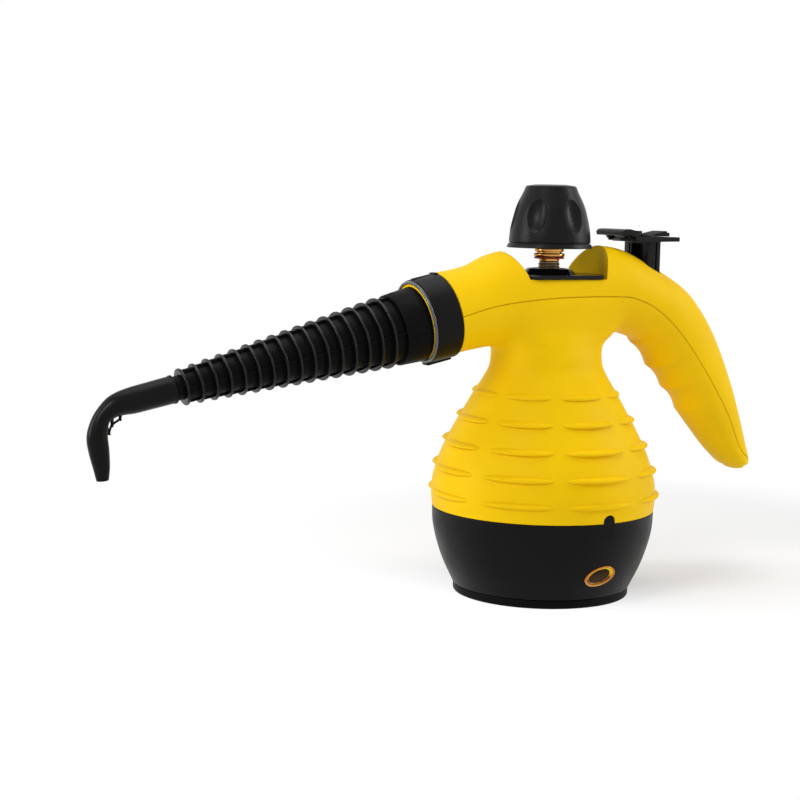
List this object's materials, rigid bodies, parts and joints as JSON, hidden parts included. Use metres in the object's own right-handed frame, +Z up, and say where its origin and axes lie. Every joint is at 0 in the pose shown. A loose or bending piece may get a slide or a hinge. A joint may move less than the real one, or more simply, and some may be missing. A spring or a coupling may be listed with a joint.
{
  "type": "handheld steam cleaner",
  "caption": "Handheld steam cleaner with a flask-shaped boiler housing, looped handle, screw cap, steam trigger, ribbed nozzle extension and elbow nozzle.",
  "frame": {"origin": "centre of the flat foot of the base", "axes": "+Z up; -X towards the nozzle, +X towards the handle; -Y is the side with the indicator lens"},
  "size_m": [0.4229, 0.1342, 0.2383],
  "materials": {
    "yellow_plastic": "satin",
    "black_plastic": "satin",
    "grained_plastic": "grained",
    "cream_plastic": "matt",
    "lens_amber": "clear",
    "brass": "turned",
    "steel": "drawn",
    "cast_alloy": "as cast",
    "seal_rubber": "matt"
  },
  "bodies": {
    "housing": {"body_shell": "yellow_plastic", "top_cover": "yellow_plastic", "base_shell": "black_plastic", "bottom_plate": "black_plastic", "base_screw_1": "steel", "base_screw_2": "steel", "base_screw_3": "steel", "base_screw_4": "steel", "indicator_lens": "lens_amber", "indicator_lamp": "lens_amber", "cord_gland": "black_plastic", "boiler_lower_half": "cast_alloy", "boiler_upper_half": "cast_alloy", "boiler_seal": "seal_rubber", "boiler_bolt_1": "steel", "boiler_bolt_2": "steel", "boiler_bolt_3": "steel", "boiler_bolt_4": "steel", "heating_element": "steel", "thermostat": "cream_plastic", "thermal_fuse": "steel", "terminal_block": "cream_plastic", "filler_neck": "brass", "filler_funnel": "black_plastic", "steam_valve_body": "brass", "trigger_spring": "steel", "inlet_pipe": "steel", "outlet_pipe": "steel", "outlet_jet": "brass", "snout_collar": "black_plastic"},
    "cap_seal": {"cap_gasket": "seal_rubber"},
    "cap": {"cap_shell": "grained_plastic", "cap_stem": "brass", "relief_spring": "steel"},
    "relief_valve": {"relief_plunger": "brass"},
    "trigger": {"trigger_button": "black_plastic"},
    "trigger_lock": {"lock_slider": "black_plastic"},
    "valve_stem": {"valve_plunger": "brass"},
    "nozzle": {"nozzle_extension": "black_plastic"},
    "elbow": {"elbow_nozzle": "black_plastic"}
  },
  "joints": [
    {"name": "cap_lift", "type": "slide", "parent": "housing", "child": "cap_seal", "axis": [0, 0, 1], "range_m": [-0.012, 0.0045]},
    {"name": "cap_turn", "type": "hinge", "parent": "cap_seal", "child": "cap", "pos_m": [0, 0, 0.2018], "axis": [0, 0, 1], "range_deg": [-2880, 1080]},
    {"name": "relief_lift", "type": "slide", "parent": "cap", "child": "relief_valve", "axis": [0, 0, 1], "range_m": [0, 0.0015], "stiffness_N_per_m": 2000, "springref_m": -0.002, "deforming": ["relief_spring"]},
    {"name": "trigger_press", "type": "slide", "parent": "housing", "child": "trigger", "axis": [0, 0, -1], "range_m": [0, 0.0045], "stiffness_N_per_m": 800, "springref_m": -0.002, "deforming": ["trigger_spring"]},
    {"name": "valve_press", "type": "slide", "parent": "housing", "child": "valve_stem", "axis": [0, 0, -1], "range_m": [0, 0.0045]},
    {"name": "lock_slide", "type": "slide", "parent": "trigger", "child": "trigger_lock", "axis": [-1, 0, 0], "range_m": [0, 0.004]},
    {"name": "nozzle_lock", "type": "hinge", "parent": "housing", "child": "nozzle", "pos_m": [0, 0, 0.17833], "axis": [-0.9755, 0, -0.2198], "range_deg": [0, 45]},
    {"name": "elbow_swivel", "type": "hinge", "parent": "nozzle", "child": "elbow", "pos_m": [0, 0, 0.17833], "axis": [-0.9755, 0, -0.2198], "continuous": true}
  ],
  "couplings": [
    {"joint": "cap_turn", "follows": "cap_lift", "rad_per_m": 4188.8},
    {"joint": "valve_press", "follows": "trigger_press", "ratio": 1}
  ]
}
